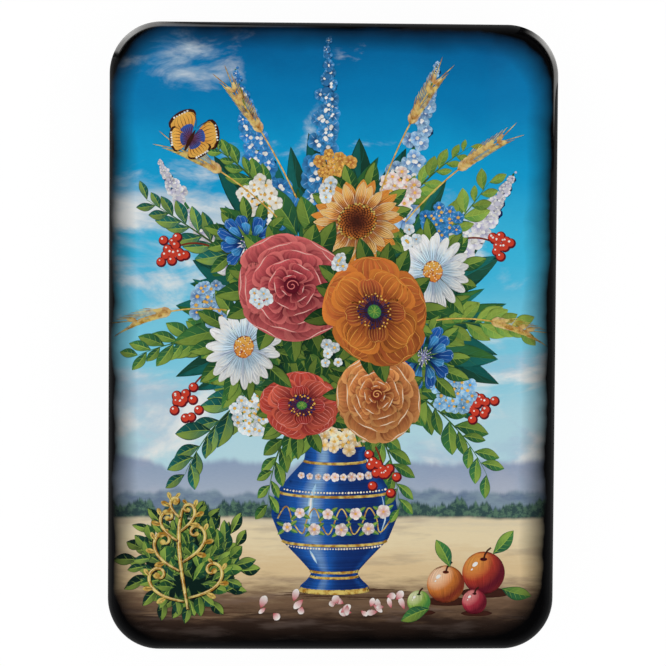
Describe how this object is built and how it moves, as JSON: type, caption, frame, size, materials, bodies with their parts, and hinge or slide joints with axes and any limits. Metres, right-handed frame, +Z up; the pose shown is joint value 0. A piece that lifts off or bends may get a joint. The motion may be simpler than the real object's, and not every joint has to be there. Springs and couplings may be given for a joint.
{
  "type": "lacquer box",
  "caption": "Hinged rounded-oblong trinket box of black and red lacquered papier-mache with a bright painted flower picture on its arched lid.",
  "frame": {"origin": "middle of the underside, on the surface that the box stands on", "axes": "+Z up through the lid, +Y along the long side towards the top of the lid's picture, +X across, away from the hinge"},
  "size_m": [0.1, 0.14, 0.035],
  "materials": {
    "black_lacquer": "gloss",
    "red_lacquer": "gloss",
    "lid_picture": "gloss",
    "hinge_brass": "satin"
  },
  "bodies": {
    "box": {"base_board": "black_lacquer", "body_wall": "black_lacquer", "inner_collar": "red_lacquer", "hinge_leaf_body": "hinge_brass", "hinge_pin": "hinge_brass", "hinge_tacks_body": "hinge_brass"},
    "lid": {"lid_wall": "black_lacquer", "lid_board": "black_lacquer", "painted_ground": "lid_picture", "hinge_leaf_lid": "hinge_brass", "hinge_tacks_lid": "hinge_brass"}
  },
  "joints": [
    {"name": "lid_hinge", "type": "hinge", "parent": "box", "child": "lid", "pos_m": [-0.04825, 0, 0.02305], "axis": [0, -1, 0], "range_deg": [0, 100]}
  ]
}
